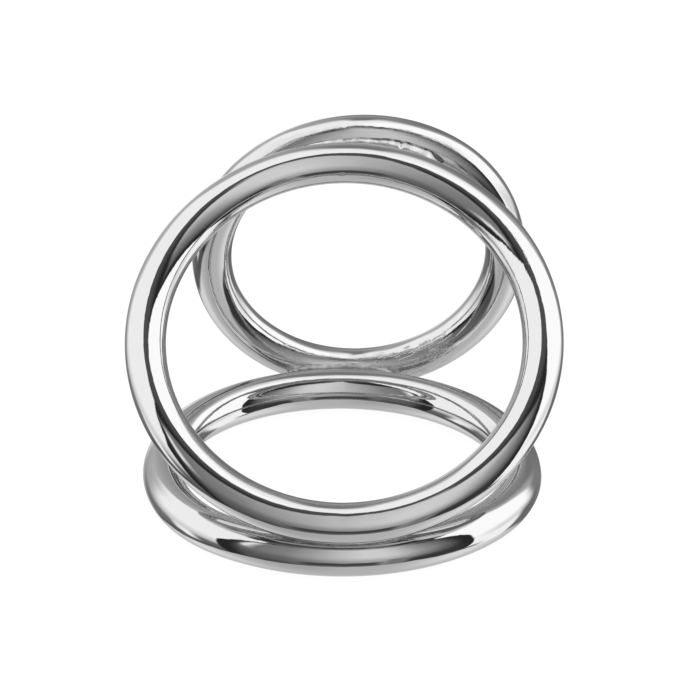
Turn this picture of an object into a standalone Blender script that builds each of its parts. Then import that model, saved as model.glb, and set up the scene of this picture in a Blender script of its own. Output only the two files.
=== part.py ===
"""Three polished rings of round bar, welded rim to rim so that their planes close a triangle.

The bottom ring lies flat. The front ring leans back over it from the near weld, and the back ring
stands up from the far weld to meet the front ring's top. Each rim-to-rim contact carries a fillet
weld on its inner and on its outer side. Nothing moves.

Metres, +Z up, -Y towards the front. The origin is the centre of the footprint, at table level.
"""

import math

import bmesh
import bpy
import numpy as np
from mathutils import Matrix, Vector

# Driving dimensions
BAR_DIAMETER = 0.006
FRONT_BORE = 0.0515
BOTTOM_BORE = 0.0465
BACK_BORE = 0.038
NEAR_ROOT_GAP = 0.0001  # between the two bars of a joint, measured in the YZ plane
ROOT_GAP = 0.0003  # the same at the back ring's joints, where its twist brings the bars closer

# How the rings are set to each other. Angles in the YZ plane, from +Y towards +Z.
FRONT_LEAN = math.radians(38.5)  # the front ring's plane above the table
NEAR_WELD_ANGLE = math.radians(103.0)  # from the bottom ring's bar to the front ring's
FAR_WELD_ANGLE = math.radians(4.0)  # from the bottom ring's bar to the back ring's
FRONT_SHIFT_X = 0.0005  # the rings were set by hand, a little out of line
BACK_SHIFT_X = 0.002
BACK_TWIST = math.radians(3.5)

# Facets of the solids
BAR_SIDES = 20  # a multiple of 4, so that a flat facet lies underneath
RING_SEGMENTS = 80
BEAD_STATIONS = 19
BEAD_FLANK_POINTS = 4
BEAD_FACE_POINTS = 3

# Weld beads
BEAD_CLEARANCE = 0.00005  # between a bead's solid and the bars it lies on
BEAD_ROOT_WIDTH = 0.0002
LEAST_ROOT_ANGLE = math.radians(6.0)  # keeps a joint's two beads apart where the bars part
BEAD_END_SPAN = math.radians(4.0)  # angle of bar that the bead still covers at its ends
FACE_HOLLOW = 0.12  # how far the bead's face dips, as a share of its width

BAR_RADIUS = BAR_DIAMETER / 2
NEAR_PITCH = BAR_DIAMETER + NEAR_ROOT_GAP
PITCH = BAR_DIAMETER + ROOT_GAP
# The facets are chords of the bar, so the flat one underneath lies a little above the true circle.
BOTTOM_RING_HEIGHT = BAR_RADIUS * math.cos(math.pi / BAR_SIDES)

POLISHED = ("polished_steel", (0.80, 0.80, 0.81, 1.0), 0.06)
WELD = ("weld_metal", (0.62, 0.62, 0.63, 1.0), 0.32)


def direction(angle):
    """Unit vector in the YZ plane."""
    return Vector((0.0, math.cos(angle), math.sin(angle)))


class Ring:
    """One ring: centre, centre-line radius, and axes along X, up its own plane, and out of the plane."""

    def __init__(self, name, bore, low_end, up, shift_x=0.0, twist=0.0):
        self.name = name
        self.radius = bore / 2 + BAR_RADIUS
        self.up = up
        self.across = Matrix.Rotation(twist, 3, up) @ Vector((1.0, 0.0, 0.0))
        self.normal = self.across.cross(up)
        self.centre = low_end + self.radius * up + Vector((shift_x, 0.0, 0.0))

    def high_end(self):
        return self.centre + self.radius * self.up - Vector((self.centre.x, 0.0, 0.0))

    def bar_at(self, x, end):
        """The bar's centre and direction where it crosses x, at the ring's high (+1) or low (-1) end."""
        sine = (x - self.centre.x) / (self.radius * self.across.x)
        cosine = end * math.sqrt(1.0 - sine * sine)
        point = self.centre + self.radius * (sine * self.across + cosine * self.up)
        along = cosine * self.across - sine * self.up
        return point, along * math.copysign(1.0, along.x)

    def half_extent(self, axis):
        """Half the ring's length along a world axis."""
        return self.radius * math.sqrt(1.0 - self.normal[axis] ** 2) + BAR_RADIUS


def circle_crossing(a, radius_a, b, radius_b):
    """Where two circles in the YZ plane cross, on the right-hand side going from a to b."""
    span = b - a
    along = (radius_a**2 - radius_b**2 + span.length_squared) / (2 * span.length)
    off = math.sqrt(radius_a**2 - along**2)
    step = span.normalized()
    return a + along * step + off * Vector((0.0, step.z, -step.y))


def lay_out_rings():
    """The three rings, each touching the other two across a root gap."""
    flat = direction(0.0)
    bottom_radius = BOTTOM_BORE / 2 + BAR_RADIUS
    near_end = Vector((0.0, -bottom_radius, BOTTOM_RING_HEIGHT))
    bottom = Ring("bottom_ring", BOTTOM_BORE, near_end, flat)
    front_foot = near_end + NEAR_PITCH * direction(NEAR_WELD_ANGLE)
    front = Ring("front_ring", FRONT_BORE, front_foot, direction(FRONT_LEAN), FRONT_SHIFT_X)
    back_foot = bottom.high_end() + PITCH * direction(FAR_WELD_ANGLE)
    back_top = circle_crossing(back_foot, BACK_BORE + BAR_DIAMETER, front.high_end(), PITCH)
    up = (back_top - back_foot).normalized()
    back = Ring("back_ring", BACK_BORE, back_foot, up, BACK_SHIFT_X, BACK_TWIST)
    return front, bottom, back


def centre_footprint(rings):
    """Moves the rings so that their bounding box is centred on X and Y."""
    for axis in (0, 1):
        low = min(ring.centre[axis] - ring.half_extent(axis) for ring in rings)
        high = max(ring.centre[axis] + ring.half_extent(axis) for ring in rings)
        for ring in rings:
            ring.centre[axis] -= (low + high) / 2


def make_material(name, colour, roughness):
    material = bpy.data.materials.new(name)
    material.use_nodes = True
    shader = material.node_tree.nodes["Principled BSDF"]
    shader.inputs["Base Color"].default_value = colour
    shader.inputs["Metallic"].default_value = 1.0
    shader.inputs["Roughness"].default_value = roughness
    return material


def add_object(name, mesh, material):
    mesh.materials.append(material)
    mesh.shade_smooth()
    obj = bpy.data.objects.new(name, mesh)
    bpy.context.scene.collection.objects.link(obj)
    return obj


def build_ring(ring, material):
    """A bar of BAR_SIDES flats bent round to a closed ring about its own Z, then set in place."""
    bm = bmesh.new()
    profile = []
    for k in range(BAR_SIDES):
        turn = 2 * math.pi * (k + 0.5) / BAR_SIDES
        point = (ring.radius + BAR_RADIUS * math.cos(turn), 0.0, BAR_RADIUS * math.sin(turn))
        profile.append(bm.verts.new(point))
    edges = [bm.edges.new((profile[k - 1], profile[k])) for k in range(BAR_SIDES)]
    bmesh.ops.spin(
        bm,
        geom=profile + edges,
        axis=(0.0, 0.0, 1.0),
        cent=(0.0, 0.0, 0.0),
        steps=RING_SEGMENTS,
        angle=2 * math.pi,
        use_merge=True,
    )
    bmesh.ops.recalc_face_normals(bm, faces=bm.faces)
    mesh = bpy.data.meshes.new(ring.name)
    bm.to_mesh(mesh)
    bm.free()
    obj = add_object(ring.name, mesh, material)
    axes = Matrix((ring.across, ring.up, ring.normal)).transposed()
    obj.matrix_world = Matrix.Translation(ring.centre) @ axes.to_4x4()


def bead_section(first, second, x, swell, toe_angle, side):
    """The outline of a bead at x: up the first bar's flank, over the face, down the second bar's.

    swell runs from 0 at the bead's ends to 1 at its middle, and side is a point that the bead faces.
    """
    (ring_a, end_a), (ring_b, end_b) = first, second
    point_a, along_a = ring_a.bar_at(x, end_a)
    point_b, along_b = ring_b.bar_at(x, end_b)
    apart = (point_b - point_a).length
    reach = BAR_RADIUS + BEAD_CLEARANCE
    root = math.acos(min(1.0, (apart - BEAD_ROOT_WIDTH) / (2 * reach)))
    root = max(root, LEAST_ROOT_ANGLE)
    toe = root + BEAD_END_SPAN + swell * max(0.0, toe_angle - root - BEAD_END_SPAN)
    flanks = []
    for here, there, along in ((point_a, point_b, along_a), (point_b, point_a, along_b)):
        towards = there - here
        towards = (towards - along * towards.dot(along)).normalized()
        out = along.cross(towards)
        out = out * math.copysign(1.0, out.dot(side - here))
        turns = np.linspace(root, toe, BEAD_FLANK_POINTS).tolist()
        flanks.append([here + reach * (math.cos(t) * towards + math.sin(t) * out) for t in turns])
    rise, fall = flanks[0], flanks[1][::-1]
    chord = fall[0] - rise[-1]
    inward = ((rise[0] + fall[-1]) / 2 - (rise[-1] + fall[0]) / 2).normalized()
    face = []
    for k in range(1, BEAD_FACE_POINTS + 1):
        share = k / (BEAD_FACE_POINTS + 1)
        dip = FACE_HOLLOW * chord.length * 4 * share * (1 - share)
        face.append(rise[-1] + share * chord + dip * inward)
    return rise + face + fall


def build_bead(name, first, second, middle_x, half_length, toe_angle, side, material):
    """A weld bead: its section lofted along the groove between the two bars, and capped."""
    bm = bmesh.new()
    loops = []
    for station in np.linspace(-1.0, 1.0, BEAD_STATIONS).tolist():
        swell = math.sqrt(1.0 - station * station)
        x = middle_x + station * half_length
        outline = bead_section(first, second, x, swell, toe_angle, side)
        loops.append([bm.verts.new(point) for point in outline])
    count = len(loops[0])
    for here, after in zip(loops, loops[1:]):
        for k in range(count):
            bm.faces.new((here[k - 1], here[k], after[k], after[k - 1]))
    bm.faces.new(loops[0])
    bm.faces.new(loops[-1])
    bmesh.ops.recalc_face_normals(bm, faces=bm.faces)
    mesh = bpy.data.meshes.new(name)
    bm.to_mesh(mesh)
    bm.free()
    add_object(name, mesh, material)


def build_beads(front, bottom, back, material):
    """An inner and an outer bead at each joint. The inner ones face the middle of the triangle."""
    high, low = 1, -1
    joints = (
        # name, the two bars, bead's middle from the joint's, half length, toe angle on the bars
        ("near_weld", (bottom, low), (front, low), 0.0, 0.011, math.radians(30.0)),
        ("far_weld", (bottom, high), (back, low), -0.002, 0.009, math.radians(50.0)),
        ("top_weld", (front, high), (back, high), 0.0008, 0.011, math.radians(42.0)),
    )
    middle = (front.centre + bottom.centre + back.centre) / 3
    for name, first, second, offset, half_length, toe_angle in joints:
        middle_x = (first[0].centre.x + second[0].centre.x) / 2 + offset
        bar, _ = first[0].bar_at(middle_x, first[1])
        outside = bar + (bar - middle)
        for place, side in (("inner", middle), ("outer", outside)):
            build_bead(
                f"{name}_{place}", first, second, middle_x, half_length, toe_angle, side, material
            )


def main():
    for obj in list(bpy.data.objects):
        bpy.data.objects.remove(obj)
    polished = make_material(*POLISHED)
    weld = make_material(*WELD)
    rings = lay_out_rings()
    centre_footprint(rings)
    for ring in rings:
        build_ring(ring, polished)
    build_beads(*rings, weld)


main()
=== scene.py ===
"""A free-standing frame of three polished steel rings, welded rim to rim, in a soft studio."""

import math
from collections import namedtuple

import bpy
import numpy as np
from mathutils import Matrix, Vector


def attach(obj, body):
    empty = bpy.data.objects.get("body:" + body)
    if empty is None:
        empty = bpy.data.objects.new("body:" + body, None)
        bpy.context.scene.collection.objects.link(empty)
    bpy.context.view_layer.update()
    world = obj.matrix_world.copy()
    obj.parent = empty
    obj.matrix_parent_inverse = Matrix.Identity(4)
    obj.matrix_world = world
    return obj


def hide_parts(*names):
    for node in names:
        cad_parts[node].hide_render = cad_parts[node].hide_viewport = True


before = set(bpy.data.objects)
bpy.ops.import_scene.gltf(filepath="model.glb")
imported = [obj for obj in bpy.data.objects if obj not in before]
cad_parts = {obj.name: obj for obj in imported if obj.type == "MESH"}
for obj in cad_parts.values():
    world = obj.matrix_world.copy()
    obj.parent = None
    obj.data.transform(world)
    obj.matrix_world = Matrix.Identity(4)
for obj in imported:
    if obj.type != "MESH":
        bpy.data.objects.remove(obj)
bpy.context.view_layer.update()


# ---------------------------------------------------------------- The three rings
# Each is a length of 6 mm stainless bar, bent to a circle, butt-welded shut, ground flush there and
# mirror-polished on a mop. Bending and polishing leave the bar a little wavy. Beside the joints the
# mop can't reach, so the bars are dressed there by hand with an abrasive strip.

MM = 0.001
MICRON = 0.001 * MM
RING_STEPS = 720  # round each ring
BAR_STEPS = 96  # round the bar
WAVES = ((15 * MM, 0.0030 * MM), (5 * MM, 0.0006 * MM))  # length along the bar, and depth
BUTT_WELDS = {"front_ring": 0.0, "bottom_ring": math.pi, "back_ring": 0.0}  # radians round the ring
BUTT_DIP, BUTT_WIDTH = 0.014 * MM, 1.3 * MM  # what grinding them flush took off
# bending leaves a ring a little out of round: (degrees round it, spread in degrees, how far out)
OUT_OF_ROUND = {
    "front_ring": (),
    "bottom_ring": ((70, 32, 0.50 * MM), (-50, 18, 0.32 * MM), (-98, 20, -0.16 * MM)),
    "back_ring": ((140, 28, 0.14 * MM),),
}
# one small nick on the front ring: radians round the ring and round the bar, its radius and depth
NICK_TURN, NICK_ROUND, NICK_RADIUS, NICK_DEPTH = math.pi + 0.031, 2.63, 0.17 * MM, 0.10 * MM

# ring, the ring it is joined to: middle of the dressed stretch in x, its half length, how far round
# the bar it reaches from the joint, in degrees, and how coarse it is
DRESSED = {
    ("back_ring", "front_ring"): (2.5 * MM, 17 * MM, 68, 0.85),
    ("back_ring", "bottom_ring"): (1.0 * MM, 15 * MM, 68, 0.9),
    ("bottom_ring", "back_ring"): (0.0 * MM, 6 * MM, 60, 0.8),
    ("bottom_ring", "front_ring"): (0.0 * MM, 20 * MM, 48, 0.12),
    ("front_ring", "bottom_ring"): (0.0 * MM, 12 * MM, 30, 0.15),
    ("front_ring", "back_ring"): (3.0 * MM, 12 * MM, 46, 0.4),
}
FADE_IN, FADE_OUT = 6 * MM, 2 * MM  # a stretch fades from this far inside its end to this far past it
RAGGED, RAGGED_RUN = 2.2, (2.2 * MM, 1.5 * MM)  # its ragged edge: degrees round the bar, and wave lengths
EDGE_SOFTNESS = 3  # of that edge, in degrees round the bar
STRIP_GAP = 18 * MM, 22 * MM  # between the bars' middles, over which the dressing dies out
# where the strip or the mop snagged the surface: degrees round the ring, spread, and how badly
TORN = {"front_ring": (118, 16, 0.04), "back_ring": (27, 16, 0.8)}
TORN_FROM = 0.3  # how dressed the back ring's bar is where its tearing is complete

# across and up lie in the ring's plane, radius is its centre line's, and bar is the bar's radius
Ring = namedtuple("Ring", "centre across up normal radius bar")


def ring_from_node(name):
    """The place and size of a CAD ring, in metres, measured on its mesh."""
    corners = [tuple(v.co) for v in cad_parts[name].data.vertices]
    points = np.unique(np.round(corners, 7), axis=0)
    centre = points.mean(axis=0)
    normal = np.linalg.eigh(np.cov((points - centre).T))[1][:, 0]
    across = np.array([1.0, 0.0, 0.0]) - normal * normal[0]
    across /= np.linalg.norm(across)
    up = np.cross(normal, across)
    if up[1] + up[2] < 0:
        normal, up = -normal, -up
    rise = (points - centre) @ normal
    reach = np.linalg.norm(points - centre - np.outer(rise, normal), axis=1)
    radius = (reach.max() + reach.min()) / 2
    return Ring(centre, across, up, normal, radius, np.hypot(reach - radius, rise).mean())


RINGS = {name: ring_from_node(name) for name in ("front_ring", "bottom_ring", "back_ring")}


def centre_line_near(points, ring):
    """The nearest point of the ring's centre line to each point."""
    local = points - ring.centre
    a, b = local @ ring.across, local @ ring.up
    size = ring.radius / np.hypot(a, b)
    return ring.centre + (a * size)[..., None] * ring.across + (b * size)[..., None] * ring.up


def gap_to(points, ring):
    """How far each point is from a ring's surface."""
    return np.linalg.norm(points - centre_line_near(points, ring), axis=-1) - ring.bar


def ease(x, low, high):
    t = np.clip((x - low) / (high - low), 0, 1)
    return t * t * (3 - 2 * t)


def ripple(random, u, v, length_u, length_v, count=14):
    """Seeded unevenness of about unit size at (u, v), from waves of about the lengths given."""
    total = np.zeros(np.broadcast(u, v).shape)
    for _ in range(count):
        heading, size = random.uniform(0, 2 * math.pi), random.uniform(0.6, 1.7)
        along, round_it = math.cos(heading) * size / length_u, math.sin(heading) * size / length_v
        total = total + np.sin(2 * math.pi * (along * u + round_it * v) + random.uniform(0, 6.3))
    return total / math.sqrt(count / 2)


def grid_mesh(name, points, close_across=True, close_along=True, run=None):
    """A mesh over a grid of points, shaded smooth. points has one row for each step along. run gives
    the length along at each row and across at each column, the closing ones included."""
    rows, columns = points.shape[:2]
    mesh = bpy.data.meshes.new(name)
    index = np.arange(rows * columns).reshape(rows, columns)
    here = index if close_along else index[:-1]
    down = np.roll(index, -1, axis=0) if close_along else index[1:]
    quads = np.stack([here, down, np.roll(down, -1, axis=1), np.roll(here, -1, axis=1)], axis=-1)
    if not close_across:
        quads = quads[:, :-1]
    mesh.from_pydata(points.reshape(-1, 3).tolist(), [], quads.reshape(-1, 4).tolist())
    mesh.shade_smooth()
    if run is not None:
        along, across = np.meshgrid(run[0], run[1], indexing="ij")
        place = np.stack([along, across], axis=-1)
        corners = np.stack([place[:-1, :-1], place[1:, :-1], place[1:, 1:], place[:-1, 1:]], axis=2)
        layer = mesh.uv_layers.new(name="bar_run")
        layer.data.foreach_set("uv", corners.astype(np.float32).reshape(-1))
    obj = bpy.data.objects.new(name, mesh)
    bpy.context.scene.collection.objects.link(obj)
    return obj


def how_dressed(name, points, centre_line, normals, random):
    """From 0, mirror-polished, to 1, coarse, at each point of a ring."""
    total = np.zeros(points.shape[:2])
    for (ring, other), (middle, half_length, reach, coarse) in DRESSED.items():
        if ring != name:
            continue
        across = centre_line_near(centre_line, RINGS[other]) - centre_line
        apart = np.linalg.norm(across, axis=-1)
        angle = np.degrees(np.arccos(np.clip((normals * across).sum(axis=-1) / apart, -1, 1)))
        x = points[..., 0]
        uneven = ripple(random, x, points[..., 1] + points[..., 2], *RAGGED_RUN)
        share = 1 - ease(np.abs(x - middle), half_length - FADE_IN, half_length + FADE_OUT)
        share = share * (1 - ease(angle + RAGGED * uneven, reach - EDGE_SOFTNESS, reach + EDGE_SOFTNESS))
        share = share * (1 - ease(apart, *STRIP_GAP))
        total = np.maximum(total, coarse * share)
    return total


def paint_mesh(mesh, name, values):
    """Gives each vertex a number that a material can read by this name."""
    attribute = mesh.attributes.new(name, "FLOAT", "POINT")
    attribute.data.foreach_set("value", values.astype(np.float32).reshape(-1))


def polished_bar(name, seed):
    """The fine surface of one ring, with how dressed and how torn it is painted on it."""
    centre, across, up, normal, radius, bar = RINGS[name]
    random = np.random.default_rng(seed)
    turn = np.linspace(0, 2 * math.pi, RING_STEPS + 1)
    round_bar = np.linspace(0, 2 * math.pi, BAR_STEPS + 1)
    run = (radius * turn, bar * round_bar)
    turn, round_bar = turn[:-1, None], round_bar[None, :-1]
    thick = bar
    for length, depth in WAVES:  # each is made of waves of nearly its length
        count = round(2 * math.pi * radius / length)
        for offset in (-1, 0, 1):
            for around in (-2, -1, 0, 1, 2):
                phase = random.uniform(0, 2 * math.pi)
                thick = thick + depth / 3 * np.sin((count + offset) * turn + around * round_bar + phase)
    from_butt = radius * ((turn - BUTT_WELDS[name] + math.pi) % (2 * math.pi) - math.pi)
    thick = thick - BUTT_DIP * np.exp(-((from_butt / BUTT_WIDTH) ** 2))
    if name == "front_ring":
        from_nick = np.hypot(radius * (turn - NICK_TURN), bar * (round_bar - NICK_ROUND))
        thick = thick - NICK_DEPTH * np.exp(-((from_nick / NICK_RADIUS) ** 2))
    for at, spread, size in OUT_OF_ROUND[name]:
        away = (np.degrees(turn) - at + 180) % 360 - 180
        radius = radius + size * np.exp(-((away / spread) ** 2))
    outward = np.sin(turn)[..., None] * across - np.cos(turn)[..., None] * up
    normals = np.cos(round_bar)[..., None] * outward + np.sin(round_bar)[..., None] * normal
    centre_line = centre + np.broadcast_to(radius, turn.shape)[..., None] * outward
    points = centre_line + thick[..., None] * normals
    points[..., 2] = np.maximum(points[..., 2], 0)  # no wave goes into the table
    obj = grid_mesh(name + "_polished", points, run=run)
    dressed = how_dressed(name, points, centre_line, normals, random)
    torn = np.zeros_like(dressed)
    if name in TORN:
        at, spread, depth = TORN[name]
        torn = torn + depth * np.exp(-(((np.degrees(turn) - at) / spread) ** 2))
    if name == "back_ring":
        torn = torn * ease(dressed, 0, TORN_FROM)
    paint_mesh(obj.data, "dressed", dressed)
    paint_mesh(obj.data, "torn", torn)
    return obj


def linear(hex_colour):
    """Scene-linear RGBA of an sRGB hex colour."""
    channels = [int(hex_colour[i : i + 2], 16) / 255 for i in (1, 3, 5)]
    return tuple(c / 12.92 if c <= 0.04045 else ((c + 0.055) / 1.055) ** 2.4 for c in channels) + (1.0,)


def add_node(tree, kind, links=(), **settings):
    """Adds a node, sets its properties and sockets (_1 is the socket of that number), and links
    (output, its input) pairs to it."""
    node = tree.nodes.new(kind)
    for key, value in settings.items():
        if hasattr(node, key):
            setattr(node, key, value)
        else:
            node.inputs[int(key[1:]) if key[0] == "_" else key.replace("_", " ")].default_value = value
    for output, socket in links:
        tree.links.new(output, node.inputs[socket])
    return node


# Mirror-polished stainless steel: a hard, slightly dark mirror. The mop's lines run along the bar,
# 0.02 mm apart in the real thing and drawn 0.5 mm apart here so that they show: they make the edge
# of a reflection a little ragged. The abrasive strip leaves 0.1 mm scratches, drawn 0.25 mm apart,
# over a 0.3 mm grain, which together give the eye a grey, satin look. Where the strip snagged it
# left torn streaks 0.5 mm across and 3 mm long, which catch bright glints.
MOP_DEPTH, SCRATCH_DEPTH, GRAIN_DEPTH = 5.0, 15.0, 7.0  # in microns
SNAG_DEPTH, TORN_GRAIN_DEPTH = 70.0, 14.0  # in microns, where a bar is fully torn
SNAG_GAIN, SNAG_FROM = 8.0, 0.55  # only the tops of the pattern, over 0.55, stand up as snags
POLISHED_ROUGHNESS = 0.028
DRESSED_ROUGHNESS, GRAIN_ROUGHNESS = 0.10, 0.14  # added where dressed: everywhere, and by the grain
polished_steel = bpy.data.materials.new("polished_stainless_steel")
polished_steel.use_nodes = True
tree = polished_steel.node_tree
steel = tree.nodes["Principled BSDF"]
steel.inputs["Metallic"].default_value = 1.0
bar_run = add_node(tree, "ShaderNodeUVMap", uv_map="bar_run")
dressing = add_node(tree, "ShaderNodeAttribute", attribute_name="dressed").outputs["Fac"]
patterns = {}
for pattern, along, across, detail in (
    ("mop_lines", 3.0 * MM, 0.5 * MM, 2.0),
    ("scratches", 4.0 * MM, 0.25 * MM, 3.0),
    ("grain", 0.4 * MM, 0.3 * MM, 2.0),
    ("snags", 3.0 * MM, 0.5 * MM, 4.0),
):
    spread = add_node(
        tree,
        "ShaderNodeMapping",
        [(bar_run.outputs["UV"], "Vector")],
        Scale=(1 / along, 1 / across, 1),
    )
    patterns[pattern] = add_node(
        tree,
        "ShaderNodeTexNoise",
        [(spread.outputs["Vector"], "Vector")],
        noise_dimensions="2D",
        Scale=1.0,
        Detail=detail,
    ).outputs["Fac"]
# mop lines everywhere, scratches and grain where the bar is dressed
mop_height = add_node(
    tree,
    "ShaderNodeMath",
    [(patterns["mop_lines"], 0)],
    operation="MULTIPLY",
    _1=MOP_DEPTH,
)
scratch_height = add_node(
    tree,
    "ShaderNodeMath",
    [(patterns["scratches"], 0)],
    operation="MULTIPLY",
    _1=SCRATCH_DEPTH,
)
dressed_height = add_node(
    tree,
    "ShaderNodeMath",
    [(patterns["grain"], 0), (scratch_height.outputs[0], 2)],
    operation="MULTIPLY_ADD",
    _1=GRAIN_DEPTH,
)
height = add_node(
    tree,
    "ShaderNodeMath",
    [(dressed_height.outputs[0], 0), (dressing, 1), (mop_height.outputs[0], 2)],
    operation="MULTIPLY_ADD",
)
tearing = add_node(tree, "ShaderNodeAttribute", attribute_name="torn").outputs["Fac"]
snag_tops = add_node(
    tree,
    "ShaderNodeMath",
    [(patterns["snags"], 0)],
    operation="MULTIPLY_ADD",
    use_clamp=True,
    _1=SNAG_GAIN,
    _2=-SNAG_GAIN * SNAG_FROM,
)
snag_height = add_node(
    tree,
    "ShaderNodeMath",
    [(snag_tops.outputs[0], 0), (patterns["grain"], 2)],
    operation="MULTIPLY_ADD",
    _1=SNAG_DEPTH / TORN_GRAIN_DEPTH,
)
torn_height = add_node(
    tree,
    "ShaderNodeMath",
    [(snag_height.outputs[0], 0)],
    operation="MULTIPLY",
    _1=TORN_GRAIN_DEPTH,
)
all_height = add_node(
    tree,
    "ShaderNodeMath",
    [(torn_height.outputs[0], 0), (tearing, 1), (height.outputs[0], 2)],
    operation="MULTIPLY_ADD",
)
relief = add_node(
    tree,
    "ShaderNodeBump",
    [(all_height.outputs[0], "Height")],
    Strength=1.0,
    Distance=MICRON,
)
tree.links.new(relief.outputs["Normal"], steel.inputs["Normal"])
strip_roughness = add_node(
    tree,
    "ShaderNodeMath",
    [(patterns["grain"], 0)],
    operation="MULTIPLY_ADD",
    _1=GRAIN_ROUGHNESS,
    _2=DRESSED_ROUGHNESS,
)
roughness = add_node(
    tree,
    "ShaderNodeMath",
    [(strip_roughness.outputs[0], 0), (dressing, 1)],
    operation="MULTIPLY_ADD",
    _2=POLISHED_ROUGHNESS,
)
tree.links.new(roughness.outputs[0], steel.inputs["Roughness"])
worn = add_node(tree, "ShaderNodeMath", [(patterns["scratches"], 0), (dressing, 1)], operation="MULTIPLY")
colour = add_node(
    tree,
    "ShaderNodeMix",
    [(worn.outputs[0], "Factor")],
    data_type="RGBA",
    _6=linear("#CBCBCB"),
    _7=linear("#B8B8B8"),
)
tree.links.new(colour.outputs[2], steel.inputs["Base Color"])

for seed, name in enumerate(RINGS):
    ring = polished_bar(name, seed)
    ring.data.materials.append(polished_steel)
    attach(ring, "root")
    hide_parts(name)


# ---------------------------------------------------------------- The weld beads
# Where two rings meet, TIG beads of stainless filler run in the crevice on both sides of the joint
# and hold it. They are ground back to a hollow and most are wire-brushed satin; none is polished.
# Each is widest near the middle, and its ends die out in the gap between the bars.

BEAD_STEPS = 240  # along each bead
FILLET_STEPS = 26  # across each bead
TOE_SINK = 0.05 * MM  # of a bead's edge under the bar's skin
OVERRUN = 0.04  # of its width, by which each edge runs on past the bar's skin
FULL_COVER = 0.12 * MM  # over the bar's skin, where the bead's own surface starts in full
PINCH = 1.0 * MM  # how far its ends bow inwards between the bars
ROLL_OVER = 1.8 * MM  # length over which each end of a bead rounds off into the gap
EDGE_THICK, MIDDLE_THICK = 0.45 * MM, 0.5 * MM  # at its edges, and added in its middle
RIPPLE_WIDTH = 6  # a bead counts as this many mm wide where its ripples are worked out
RIPPLES, FINE_RIPPLES = (2.4, 3.0), (0.7, 1.2)  # their lengths along and across, in mm
RIPPLE_SHARE, FINE_SHARE, FINE_COUNT = 0.7, 0.35, 20
TOE_WANDER, TOE_WANDER_RUN = 0.8, 3.5  # of its toes, in degrees, and over how many mm
TOE_SOFTENING = (-0.9, -0.3, 0.3, 0.9)  # places in mm whose average rounds off the toes' corners
# CAD node: the two rings, which end of each, which side of the joint; where the bead's toes lie
# round the bars as (x in mm, degrees from the line between the bars); its ripples' depth in mm;
# how much further its left and right ends run on the second ring, in mm; and how satin it is
BEADS = {
    "near_weld_outer": (
        ("front_ring", -1, "bottom_ring", -1, -1),
        ((-11.0, 20), (-8, 22), (-3, 25), (3, 24), (8, 22), (10.6, 20)),
        0.016,
        (0.0, 0.0),
        0.5,
    ),
    "near_weld_inner": (
        ("front_ring", -1, "bottom_ring", -1, 1),
        ((-10.6, 21), (-6, 26), (0, 28), (6, 26), (10.4, 21)),
        0.016,
        (0.0, 0.0),
        0.5,
    ),
    "far_weld_inner": (
        ("bottom_ring", 1, "back_ring", -1, 1),
        ((-10.4, 22), (-8.4, 36), (-7, 42), (-4, 45), (0, 51), (3, 47), (5.5, 40), (8.6, 25)),
        0.008,
        (-1.0, 1.0),
        0.5,
    ),
    "far_weld_outer": (
        ("bottom_ring", 1, "back_ring", -1, -1),
        ((-10.0, 36), (-6, 43), (0, 48), (4, 44), (7.4, 37)),
        0.016,
        (0.0, 0.0),
        0.6,
    ),
    "top_weld_outer": (
        ("front_ring", 1, "back_ring", 1, 1),
        ((-9.6, 24), (-7, 31), (-4, 34), (-1, 35), (3, 39), (6, 42), (10, 43), (13, 40), (16, 32)),
        0.007,
        (-1.0, 1.5),
        0.0,
    ),
    "top_weld_inner": (
        ("front_ring", 1, "back_ring", 1, -1),
        ((-9.4, 32), (-4, 40), (2, 42), (6, 39), (10, 30)),
        0.016,
        (0.0, 2.0),
        0.5,
    ),
}
# gas left a pit in two of them: x in mm, and how far across the bead it is
PITS = {"top_weld_outer": (8.4, 0.46), "far_weld_inner": (-7.6, 0.45)}
PIT_RADIUS, PIT_DEPTH, PIT_BEAD_WIDTH = 0.30, 0.26, 2.2  # in mm


def bar_centre(ring, end, x):
    """The point of the ring's centre line at x, at its low or high end."""
    a = (x - ring.centre[0]) / ring.across[0]
    b = end * np.sqrt(ring.radius**2 - a**2)
    return ring.centre + a[..., None] * ring.across + b[..., None] * ring.up


def rolled_ball(first, second, x, bar, out, height):
    """Centre and radius of the ball that touches both rings with its lowest point at this height
    over the line between their centres."""
    a, b = bar_centre(*first, x), bar_centre(*second, x)
    across = (b - a) / np.linalg.norm(b - a, axis=-1)[..., None]
    away = out * np.cross((1.0, 0.0, 0.0), across)
    half = np.linalg.norm(b - a, axis=-1) / 2
    v = np.zeros_like(x)
    size = (half**2 + height**2 - bar**2) / (2 * (bar - height))
    step = 0.001 * MM

    def misses(v, size):
        ball = (a + b) / 2 + v[..., None] * across + (height + size)[..., None] * away
        return gap_to(ball, first[0]) - size, gap_to(ball, second[0]) - size, ball

    for _ in range(6):  # Newton's method on the two gaps
        m1, m2, ball = misses(v, size)
        v1, v2, _ = misses(v + step, size)
        s1, s2, _ = misses(v, size + step)
        a11, a12, a21, a22 = (v1 - m1) / step, (s1 - m1) / step, (v2 - m2) / step, (s2 - m2) / step
        det = a11 * a22 - a12 * a21
        v = v - (a22 * m1 - a12 * m2) / det
        size = size - (a11 * m2 - a21 * m1) / det
    return misses(v, size)[2], size, away


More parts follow.
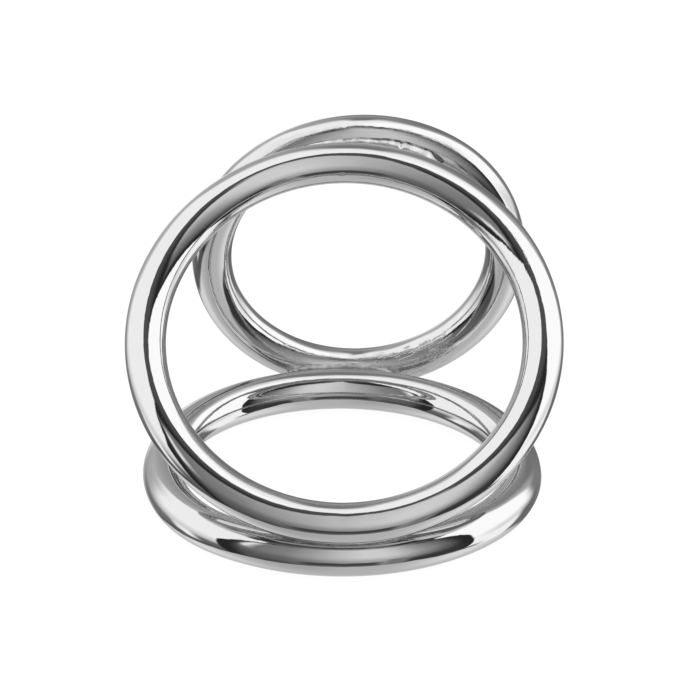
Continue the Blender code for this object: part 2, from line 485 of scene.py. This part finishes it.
def weld_bead(name, seed):
    """One bead: the skin of a ball rolled along the crevice, closed below by a root between the bars."""
    (first, first_end, second, second_end, out), profile, depth, skew, satin = BEADS[name]
    first, second = (RINGS[first], first_end), (RINGS[second], second_end)
    random = np.random.default_rng(seed)
    xs, toes = np.array(profile, dtype=float).T
    xs *= MM
    t = np.linspace(0, 1, FILLET_STEPS)[None, :]
    s = np.linspace(0, 1, BEAD_STEPS)[:, None]
    pinch = PINCH * 4 * t * (1 - t)
    left = xs[0] + pinch - min(skew[0], 0) * MM * (1 - t)
    right = xs[-1] - pinch - max(skew[1], 0) * MM * (1 - t)
    x = left + s * (right - left)
    along = x / MM
    uneven = ripple(random, along, RIPPLE_WIDTH * t, *RIPPLES)
    toe = sum(np.interp(x + shift * MM, xs, toes) for shift in TOE_SOFTENING) / len(TOE_SOFTENING)
    toe = np.radians(toe + TOE_WANDER * ripple(random, along, 0 * t, TOE_WANDER_RUN, 1.0))
    bar = first[0].bar
    half = np.linalg.norm(bar_centre(*second, x) - bar_centre(*first, x), axis=-1) / 2
    height = half * np.tan(toe) - half / np.cos(toe) + bar
    ball, size, away = rolled_ball(first, second, x, bar, out, height)
    to_first = centre_line_near(ball, first[0]) - ball
    to_second = centre_line_near(ball, second[0]) - ball
    to_first /= np.linalg.norm(to_first, axis=-1)[..., None]
    to_second /= np.linalg.norm(to_second, axis=-1)[..., None]
    between = np.arccos(np.clip((to_first * to_second).sum(axis=-1), -1, 1))[..., None]
    sweep = -OVERRUN + (1 + 2 * OVERRUN) * t[..., None]
    arc = (np.sin((1 - sweep) * between) * to_first + np.sin(sweep * between) * to_second) / np.sin(between)
    skin = ball + size[..., None] * arc
    fill = np.minimum(gap_to(skin, first[0]), gap_to(skin, second[0]))
    cover = ease(fill, 0.0, FULL_COVER)
    fine = ripple(random, along, RIPPLE_WIDTH * t, *FINE_RIPPLES, FINE_COUNT)
    rippled = RIPPLE_SHARE * uneven + FINE_SHARE * fine
    lift = cover * depth * MM * rippled - (1 - cover) * TOE_SINK
    if name in PITS:
        pit_x, pit_t = PITS[name]
        from_pit = np.hypot(along - pit_x, PIT_BEAD_WIDTH * (t - pit_t)) / PIT_RADIUS
        lift = lift - PIT_DEPTH * MM * np.exp(-(from_pit**2)) * cover
    skin = skin - lift[..., None] * arc
    thick = (EDGE_THICK + MIDDLE_THICK * np.sin(math.pi * t)) * np.ones_like(s)
    root = skin - thick[..., None] * away
    from_end = np.minimum(x - left, right - x)
    rolled = 1 - np.sqrt(1 - np.clip(1 - from_end / ROLL_OVER, 0, 0.999) ** 2)
    skin = skin - (rolled * thick)[..., None] * away
    shell = np.concatenate([skin, root[:, ::-1]], axis=1)
    if np.cross(skin[1, 0] - skin[0, 0], skin[0, 1] - skin[0, 0]) @ away[0, 0] > 0:
        shell = shell[:, ::-1]  # so that its faces look outwards
    bead = grid_mesh(name + "_brushed", shell, close_along=False)
    columns = shell.shape[1]
    last = (BEAD_STEPS - 1) * columns
    caps = []  # the faces that close its two ends
    for j in range(FILLET_STEPS - 1):
        k = columns - 1 - j
        caps.append((j, j + 1, k - 1, k))
        caps.append((last + k, last + k - 1, last + j + 1, last + j))
    mesh = bead.data
    faces = [tuple(p.vertices) for p in mesh.polygons] + caps
    corners = [tuple(v.co) for v in mesh.vertices]
    mesh.clear_geometry()
    mesh.from_pydata(corners, [], faces)
    paint_mesh(mesh, "satin", satin * np.ones(len(corners)))
    mesh.shade_smooth()
    return bead


# Brushed stainless weld metal: greyer and rougher than the bars. The wire brush leaves a 0.15 mm
# grain, drawn at 0.3 mm, and there are specks of about 0.5 mm, drawn at 0.9 mm, so it glitters in
# places. A bead with no satin was left as it was ground, so it is paler and shinier.
BRUSH_GRAIN, SPECK = 0.3 * MM, 0.9 * MM
BEAD_RELIEF, SPECK_RELIEF = 4.5 * MICRON, 3.0  # depth of the grain, and of the specks beside it
GROUND_ROUGHNESS, SATIN_ROUGHNESS, SPECK_ROUGHNESS = 0.10, 0.34, 0.18  # each is added to the last
SATIN_DARKENING = 0.45  # of the way from the paler colour to the darker one
weld_metal = bpy.data.materials.new("brushed_stainless_weld")
weld_metal.use_nodes = True
bead_tree = weld_metal.node_tree
bead_steel = bead_tree.nodes["Principled BSDF"]
bead_steel.inputs["Metallic"].default_value = 1.0
place = add_node(bead_tree, "ShaderNodeTexCoord").outputs["Object"]
brush_grain = add_node(
    bead_tree,
    "ShaderNodeTexNoise",
    [(place, "Vector")],
    Scale=1 / BRUSH_GRAIN,
    Detail=3.0,
)
specks = add_node(
    bead_tree,
    "ShaderNodeTexNoise",
    [(place, "Vector")],
    Scale=1 / SPECK,
    Detail=2.0,
)
bead_height = add_node(
    bead_tree,
    "ShaderNodeMath",
    [(specks.outputs["Fac"], 0), (brush_grain.outputs["Fac"], 2)],
    operation="MULTIPLY_ADD",
    _1=SPECK_RELIEF,
)
bead_relief = add_node(
    bead_tree,
    "ShaderNodeBump",
    [(bead_height.outputs[0], "Height")],
    Strength=1.0,
    Distance=BEAD_RELIEF,
)
bead_tree.links.new(bead_relief.outputs["Normal"], bead_steel.inputs["Normal"])
how_satin = add_node(bead_tree, "ShaderNodeAttribute", attribute_name="satin").outputs["Fac"]
satin_roughness = add_node(
    bead_tree,
    "ShaderNodeMath",
    [(how_satin, 0)],
    operation="MULTIPLY_ADD",
    _1=SATIN_ROUGHNESS,
    _2=GROUND_ROUGHNESS,
)
bead_roughness = add_node(
    bead_tree,
    "ShaderNodeMath",
    [(specks.outputs["Fac"], 0), (satin_roughness.outputs[0], 2)],
    operation="MULTIPLY_ADD",
    _1=SPECK_ROUGHNESS,
)
bead_tree.links.new(bead_roughness.outputs[0], bead_steel.inputs["Roughness"])
bead_shade = add_node(
    bead_tree,
    "ShaderNodeMath",
    [(how_satin, 0), (specks.outputs["Fac"], 2)],
    operation="MULTIPLY_ADD",
    use_clamp=True,
    _1=-SATIN_DARKENING,
)
bead_colour = add_node(
    bead_tree,
    "ShaderNodeMix",
    [(bead_shade.outputs[0], "Factor")],
    data_type="RGBA",
    _6=linear("#7E7E7E"),
    _7=linear("#E2E2E2"),
)
bead_tree.links.new(bead_colour.outputs[2], bead_steel.inputs["Base Color"])

FIRST_BEAD_SEED = 40
for seed, name in enumerate(BEADS, FIRST_BEAD_SEED):
    bead = weld_bead(name, seed)
    bead.data.materials.append(weld_metal)
    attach(bead, "root")
    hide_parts(name)


# ---------------------------------------------------------------- The studio
# A pale floor, and a tent of white cloth round the object. Its front is open towards the viewer, so
# that a dim room shows there inside the tent's black hem, over a pale table. The steel's whole look
# is this tent: it is seen only in the steel.

STUDIO_RADIUS = 3.0
FLOOR_HALF = 2.5
STEEL_SHARE = 0.60  # of the light that the steel gives back, so that a card's grey is what it shows

floor_corners = [(x * FLOOR_HALF, y * FLOOR_HALF, 0) for x, y in ((-1, -1), (1, -1), (1, 1), (-1, 1))]
floor_mesh = bpy.data.meshes.new("floor")
floor_mesh.from_pydata(floor_corners, [], [(0, 1, 2, 3)])
floor = bpy.data.objects.new("floor", floor_mesh)
bpy.context.scene.collection.objects.link(floor)
# Opal acrylic lit from below: so bright that the object hardly shades it.
floor_sheet = bpy.data.materials.new("lit_opal_acrylic")
floor_sheet.use_nodes = True
opal = floor_sheet.node_tree.nodes["Principled BSDF"]
opal.inputs["Base Color"].default_value = linear("#4A4A4A")
opal.inputs["Roughness"].default_value = 0.9
opal.inputs["Emission Color"].default_value = linear("#FFFFFF")
opal.inputs["Emission Strength"].default_value = 0.95
floor_mesh.materials.append(floor_sheet)
floor.visible_glossy = False


# The tent's cards, in degrees as seen from the object: azimuth of the middle, how far it reaches to
# the left and right of that, its low and high edges, how soft its sides are, how soft its low and
# high edges are, and its grey. A later card covers an earlier one.
WHITE_SIDES = (
    (98, -60, 40, -60, 95, 10, 10, 0.96),  # the right wall
    (92, -10, 40, -17, 0, 14, 7, 0.68),  # it dims towards the table
    (92, -30, 40, -60, -19, 14, 5, 0.86),
    (-95, -30, 40, -18, 0, 14, 9, 0.62),  # and so does the left one
    (-95, -30, 40, -60, -20, 14, 4, 0.76),
    (-92, -5, 6, -29, -21, 5, 4, 0.90),
)
DARK_BEHIND = (
    (-178, -14, 8, 36, 66, 7, 8, 0.17),
    (-140, -13, 10, -4, 26, 10, 10, 0.40),
    (155, -8, 12, 12, 29, 6, 6, 0.16),
    (-140, -16, 14, -60, 4, 14, 16, 0.28),
    (141, -12, 16, -24, 12, 8, 8, 0.18),
    (175, -22, 12, -18, 12, 9, 6, 0.13),
    (-165, -7, 7, -16, 7, 5, 5, 0.62),
    (168, -9, 9, -34, -18, 4, 4, 0.80),
)
DARK_LOW = (
    (-127, -23, 20, -60, -14, 6, 9, 0.14),  # low on the left
    (-78, -9, 20, -60, -15, 6, 8, 0.12),
    (128, -12, 16, -60, -11, 6, 8, 0.13),  # low on the right
    (148, -16, 14, -60, -24, 8, 8, 0.12),
    (-100, -50, 45, -60, -33, 8, 2.5, 0.08),  # the left wall's foot
    (-109, -9, 9, -60, -28.5, 5, 2, 0.10),
)
IN_THE_ROOM = (
    (-51, -3, 3, 14, 44, 2.5, 10, 0.46),  # a pale strip just inside the hem, on the left
    (-52.5, -1.5, 1.5, 18, 41, 2, 4, 0.80),
    (2, -24, 22, -60, -16, 6, 4, 0.05),  # the far edge of the table, in the shade
    (8, -28, 14, -38, -31, 8, 3, 0.13),
    (-38, -12, 12, -60, -24, 8, 6, 0.065),
    (50, -14, 22, -60, -13, 6, 8, 0.035),
    (31, -5, 5, -36, -8, 3, 3, 0.17),
    (76, -10, 14, -41.5, -34, 6, 2.5, 0.10),
)
# curves through (azimuth, value), in degrees and greys
BEHIND_GREY = (
    (120, 0.50), (135, 0.38), (150, 0.19), (163, 0.21), (180, 0.27), (195, 0.31), (212, 0.37), (225, 0.48),
)
ROOM_TOP = (
    (-58, 37), (-46, 52.5), (-30, 54.5), (-15, 57.5), (-6, 65.5), (1, 71), (7, 70), (15, 63.5), (30, 60),
    (45, 56), (58, 48),
)
ROOM_GREY = (
    (-56, 0.12), (-45, 0.17), (-30, 0.21), (-15, 0.335), (0, 0.49), (15, 0.61), (25, 0.60), (32, 0.54),
    (45, 0.295), (58, 0.14), (66, 0.12),
)
TABLE_EDGE = (
    (-150, -37), (-135, -38), (-120, -42.5), (-105, -43.5), (-90, -43.5), (-75, -42), (-60, -38.5),
    (0, -37.6), (30, -36.4), (44, -34), (60, -38.6), (75, -39.4), (100, -41), (120, -39),
)
TENT_GREY, TABLE_GREY = 0.84, 0.43
HEM_MIDDLE, HEM_LEVEL = 5, 15  # azimuth of the opening's middle, and where its hem starts to close in
HEM_LEFT_BEND, HEM_RIGHT_BEND = 2.1, 2.8  # 2 is an ellipse, and more is squarer
HEM_LEFT_RISE, HEM_RIGHT_RISE = 71, 66


def curve(azimuth, points):
    return np.interp(azimuth, *zip(*points))


def card(azimuth, elevation, middle, left, right, low, high, edge, edge_up):
    """How much of a soft-edged card covers each direction. Its sides are measured from its middle."""
    side = (azimuth - middle + 180) % 360 - 180
    across = ease(side, left - edge, left + edge) * (1 - ease(side, right - edge, right + edge))
    above = ease(elevation, low - edge_up, low + edge_up)
    return across * (above * (1 - ease(elevation, high - edge_up, high + edge_up)))


def tent_light(azimuth, elevation):
    """The tent's brightness as the steel shows it, from 0, black, to 1, white."""
    light = np.full(azimuth.shape, TENT_GREY)

    def lay(mask, brightness):
        nonlocal light
        light = light * (1 - mask) + brightness * mask

    def lay_cards(cards):
        for *sides, grey in cards:
            lay(card(azimuth, elevation, *sides), grey)

    def pool(middle, left, right, edge):
        """A patch of light or shade from the table to the roof."""
        return card(azimuth, elevation, middle, left, right, -95, 95, edge, edge)

    lay_cards(WHITE_SIDES)
    behind = curve((azimuth + 360) % 360, BEHIND_GREY) * (1 + 1.3 * ease(elevation, 40, 66))
    lay(card(azimuth, elevation, 175, -43, 40, -60, 58, 4, 12), behind)
    lay_cards(DARK_BEHIND)
    lay_cards(DARK_LOW)
    # the open front: the hem, black
    side = azimuth - HEM_MIDDLE
    on_left = side < 0
    bend = np.where(on_left, HEM_LEFT_BEND, HEM_RIGHT_BEND)
    # how far it opens to each side, a little further low down
    left = 67 + 5 * ease(-elevation, -25, -5)
    right = 69.5 + 3.2 * ease(-elevation, -6, 30)
    rise = np.maximum(elevation - HEM_LEVEL, 0) / np.where(on_left, HEM_LEFT_RISE, HEM_RIGHT_RISE)
    outer = (np.abs(side) / np.where(on_left, left, right)) ** bend + rise**bend
    inside = (1 - ease(outer, 0.975, 1.02)) * ease(elevation, -60, -55)
    lay(inside, 0.02 + 0.05 * ease(elevation, 60, 76))
    # the room seen inside it, darker towards the table
    top = curve(azimuth, ROOM_TOP)
    sides = ease(azimuth, -60, -50) * (1 - ease(azimuth, 58, 70))
    room = curve(azimuth, ROOM_GREY) * (1 - 0.44 * ease(-elevation, -18, 14))
    lay(sides * (1 - ease(elevation, top - 3, top + 3)), room)
    lay_cards(IN_THE_ROOM)
    # the table, lit from both walls and a little shaded on the near left
    edge = curve(azimuth, TABLE_EDGE)
    glow = 0.26 * pool(88, -28, 32, 34) + 0.22 * pool(-104, -30, 24, 22)
    shade = 0.10 * pool(-30, -12, 16, 26)
    table = TABLE_GREY + (glow - shade) * ease(elevation, -84, -50)
    lay(1 - ease(elevation, edge - 2, edge + 2), table)
    return light


def build_tent(columns=720, rows=360):
    """A dome round the scene with its light painted on its vertices."""
    azimuth = np.linspace(-180, 180, columns, endpoint=False)[None, :] + np.zeros((rows, 1))
    elevation = np.linspace(-89.9, 89.9, rows)[:, None] + np.zeros((1, columns))
    a, e = np.radians(azimuth), np.radians(elevation)
    points = STUDIO_RADIUS * np.stack([np.sin(a) * np.cos(e), -np.cos(a) * np.cos(e), np.sin(e)], axis=-1)
    dome = grid_mesh("light_tent", points, close_along=False)
    paint_mesh(dome.data, "light", tent_light(azimuth, elevation) / STEEL_SHARE)
    cloth = bpy.data.materials.new("lit_tent_cloth")
    cloth.use_nodes = True
    cloth.node_tree.nodes.clear()
    read = add_node(cloth.node_tree, "ShaderNodeAttribute", attribute_name="light")
    glow = add_node(cloth.node_tree, "ShaderNodeEmission", [(read.outputs["Fac"], "Strength")])
    add_node(cloth.node_tree, "ShaderNodeOutputMaterial", [(glow.outputs[0], "Surface")])
    cloth.cycles.emission_sampling = "NONE"
    dome.data.materials.append(cloth)
    dome.visible_camera = False
    dome.visible_diffuse = False
    dome.visible_shadow = False
    dome.visible_transmission = False


build_tent()

world = bpy.data.worlds.new("white_studio")
bpy.context.scene.world = world
world.use_nodes = True
world.node_tree.nodes["Background"].inputs["Color"].default_value = linear("#FFFFFF")
world.node_tree.nodes["Background"].inputs["Strength"].default_value = 1.05


# ---------------------------------------------------------------- The camera
# A long lens, a little above the object, so that the rings hardly taper with distance.

AIM = Vector((-0.22, 2.45, 21.19)) * MM
DISTANCE = 816.6 * MM
AZIMUTH, ELEVATION, ROLL = math.radians(1.06), math.radians(26.54), math.radians(0.22)
SENSOR_WIDTH, LENS = 36.0, 291.45

camera_data = bpy.data.cameras.new("camera")
camera_data.sensor_width = SENSOR_WIDTH
camera_data.lens = LENS
camera = bpy.data.objects.new("camera", camera_data)
bpy.context.scene.collection.objects.link(camera)
back = Vector((
    math.sin(AZIMUTH) * math.cos(ELEVATION),
    -math.cos(AZIMUTH) * math.cos(ELEVATION),
    math.sin(ELEVATION),
))
camera.location = AIM + DISTANCE * back
camera.rotation_euler = (back.to_track_quat("Z", "Y").to_matrix() @ Matrix.Rotation(ROLL, 3, "Z")).to_euler()
bpy.context.scene.camera = camera
bpy.context.scene.view_settings.view_transform = "Standard"
